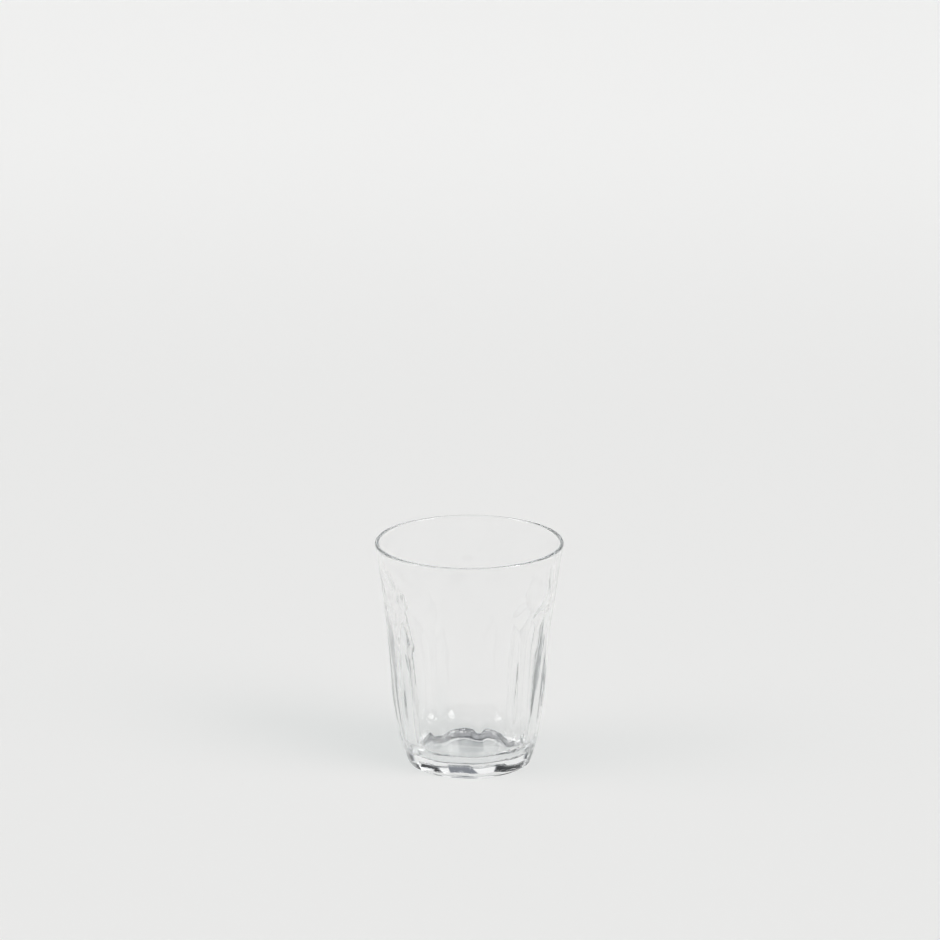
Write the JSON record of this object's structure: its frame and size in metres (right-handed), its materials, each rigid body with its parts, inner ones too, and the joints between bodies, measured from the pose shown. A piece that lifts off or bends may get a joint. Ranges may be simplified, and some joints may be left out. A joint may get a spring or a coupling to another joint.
{
  "type": "drinking glass",
  "caption": "Flared pressed glass tumbler with a plain round rim, flat arched panels between narrow ribs and a thick bevelled foot, for holding a drink.",
  "frame": {"origin": "middle of the resting plane under the foot", "axes": "+Z along the axis of the glass, towards the open rim; -Y faces the picture's camera"},
  "size_m": [0.0774, 0.0774, 0.094],
  "materials": {
    "clear_glass": "fire-polished, smooth and clear, with a faint cool green-grey tint in the thick glass"
  },
  "bodies": {
    "root": {"tumbler": "clear_glass"}
  },
  "joints": []
}
